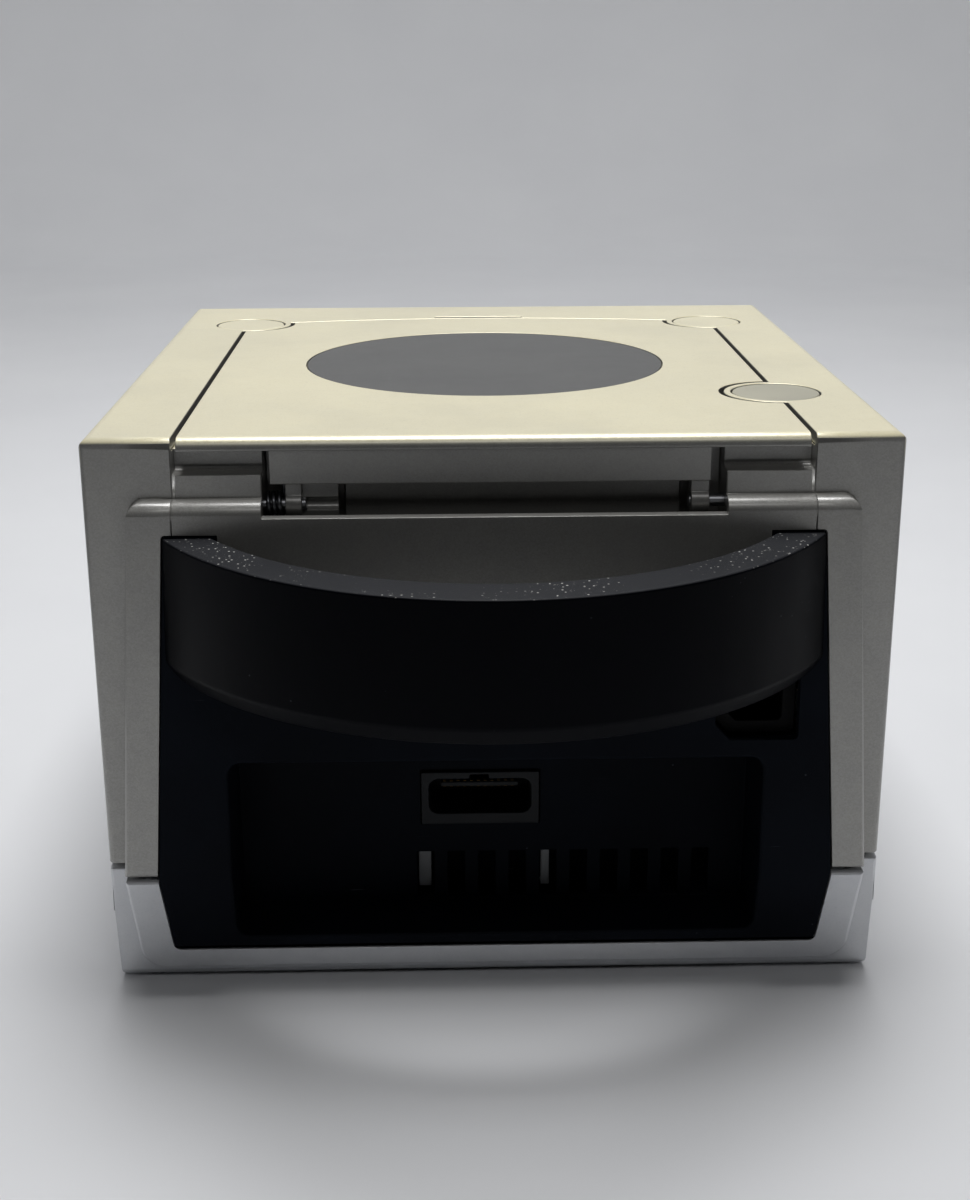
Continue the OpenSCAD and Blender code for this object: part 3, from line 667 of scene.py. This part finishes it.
def piece(name, bm, material, slot, body="console", *nodes):
    """Makes a piece that rides with a body, or with the body of a CAD node, and stands for some nodes."""
    obj = mesh_object(name, bm, material)
    if nodes:
        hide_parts(*nodes)
    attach(obj, frame["nodes"][body]["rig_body"] if body in frame["nodes"] else body)
    return obj


def make_lid_spring():
    """Torsion spring of the lid: three turns with a leg up to the lid and a leg down to the case."""
    low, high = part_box("lid_spring")
    wire = 0.45 * MM
    turns, steps, leg = 3, 28, 4
    radius = (high.y - low.y) / 2 - wire
    x0, x1 = low.x + wire, high.x - wire
    y, z = (low.y + high.y) / 2, (low.z + high.z) / 2
    path = [Vector((x0, y - radius, high.z - (high.z - z) * k / leg)) for k in range(leg)]
    for k in range(turns * steps + 1):
        a = 2 * math.pi * k / steps
        x = x0 + (x1 - x0) * k / (turns * steps)
        path.append(Vector((x, y - radius * math.cos(a), z - radius * math.sin(a))))
    path += [Vector((x1, y - radius, z - (z - low.z) * k / leg)) for k in range(1, leg + 1)]
    bm = bmesh.new()
    tube(bm, path, wire)
    piece("lid_spring_coil", bm, mats["wire"], "steel", "lid_spring", "lid_spring")


def make_button_springs():
    """A wound spring under each button."""
    travel, wire, turns, steps = 1.7 * MM, 0.2 * MM, 3, 24
    for name in ("open", "reset", "power"):
        node = f"{name}_spring"
        low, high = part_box(node)
        x, y = (low.x + high.x) / 2, (low.y + high.y) / 2
        radius = (high.x - low.x) / 2 - wire
        z0, z1 = low.z + wire, high.z - wire
        path = []
        for k in range(turns * steps + 1):
            a = 2 * math.pi * k / steps
            z = z0 + (z1 - z0) * k / (turns * steps)
            path.append(Vector((x + radius * math.cos(a), y + radius * math.sin(a), z)))
        bm = bmesh.new()
        tube(bm, path, wire)
        coil = piece(f"{node}_coil", bm, mats["wire"], "steel", node, node)
        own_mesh(coil)


def make_vent_clips():
    """Two sprung earthing clips that show through the first and fifth vents, each a blade with a foot."""
    floor = PANEL[0].z + 4 * MM
    y = CONNECTOR[0].y + 12.2 * MM
    tall, thick, foot, sole = 11.5 * MM, 0.5 * MM, 2 * MM, 0.6 * MM
    for k, (x0, x1) in enumerate(((12.7 * MM, 15.3 * MM), (-11.5 * MM, -9.7 * MM))):
        bm = bmesh.new()
        slab(bm, Vector((x0, y, floor)), Vector((x1, y + thick, floor + tall)), 0.2 * MM)
        slab(bm, Vector((x0, y - foot, floor)), Vector((x1, y, floor + sole)), 0.15 * MM)
        piece(f"vent_clip_{k + 1}", bm, mats["clip"], "steel", "console")


def make_av_contacts():
    """Two rows of sprung contacts, on the upper and the lower face of the AV connector's tongue."""
    low, high = CONNECTOR
    count, first, pitch, width = 11, 5.0 * MM, 1.36 * MM, 0.62 * MM
    top, tongue, thick = high.z - 3.1 * MM, 1.0 * MM, 0.16 * MM
    front, back = low.y + 6.2 * MM, low.y + 14.6 * MM
    bm = bmesh.new()
    for k in range(count):
        x = low.x + first + pitch * k
        for z in (top, top - tongue - thick):
            slab(bm, Vector((x, front, z)), Vector((x + width, back, z + thick)), 0.05 * MM)
    piece("av_contacts", bm, mats["gold"], "steel", "av_connector")


def make_socket_pins():
    """Six contact pins in each controller socket, in two rows of three."""
    mouth, pin, row, column = 4.2 * MM, 0.55 * MM, 1.7 * MM, 3.4 * MM
    reach = [d * MM for d in (0, 2, 4, 4.6, 5)]
    for k in range(1, 5):
        low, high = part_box(f"controller_socket_{k}")
        x, z = (low.x + high.x) / 2, (low.z + high.z) / 2
        y = high.y - mouth
        bm = bmesh.new()
        for dz in (-row, row):
            for dx in (-column, 0, column):
                tube(bm, [Vector((x + dx, y - d, z + dz)) for d in reach], pin, 14)
        piece(f"socket_pins_{k}", bm, mats["gold"], "steel", f"controller_socket_{k}")


def make_hub_balls():
    """Three sprung balls that grip the disc's hole, round the hub's cone."""
    low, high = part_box("spindle_hub")
    x, y = (low.x + high.x) / 2, (low.y + high.y) / 2
    ring, ball, down = 6.0 * MM, 1.05 * MM, 1.3 * MM
    bm = bmesh.new()
    for k in range(3):
        a = math.radians(90 + 120 * k)
        at = Vector((x + ring * math.cos(a), y + ring * math.sin(a), high.z - down))
        made = bmesh.ops.create_uvsphere(bm, u_segments=18, v_segments=12, radius=ball)["verts"]
        bmesh.ops.translate(bm, vec=at, verts=made)
    piece("hub_balls", bm, mats["steel"], "steel", "spindle_hub")


SMALL = (
    make_lid_spring,
    make_button_springs,
    make_vent_clips,
    make_av_contacts,
    make_socket_pins,
    make_hub_balls,
)

# CAD nodes that are shown as they are, by material
CARRIED = {
    "steel": [
        "case_screws", "handle_screws", "lid_latch", "drive_chassis", "spindle_motor",
        "sled_rails", "lead_screw", "sled_motor", "shield_plate", "laser_sled",
    ],
    "sink": ["heatsink"],
    "socket": [
        *(f"controller_socket_{k}" for k in range(1, 5)),
        "memory_slot_a", "memory_slot_b", "memory_door_a", "memory_door_b", "lid_liner",
    ],
    "grey": ["port_cover_front", "port_cover_left", "port_cover_right"],
    "tray": ["fan_frame", "fan_rotor"],
    "board": ["mainboard", "power_board", "controller_board"],
    "flex": ["ribbon_cable"],
    "lens": ["laser_lens"],
}


# ---- The scene ----

make_camera()
mats = make_materials()
make_stage()
make_lights()
for node, (mat, slot, rule) in SHELLS.items():
    refine(node, mats[mat], rule)
for make in SMALL:
    make()
for mat, nodes in CARRIED.items():
    for node in nodes:
        mesh = frame["nodes"][node].data
        mesh.materials.clear()
        mesh.materials.append(mats[mat])
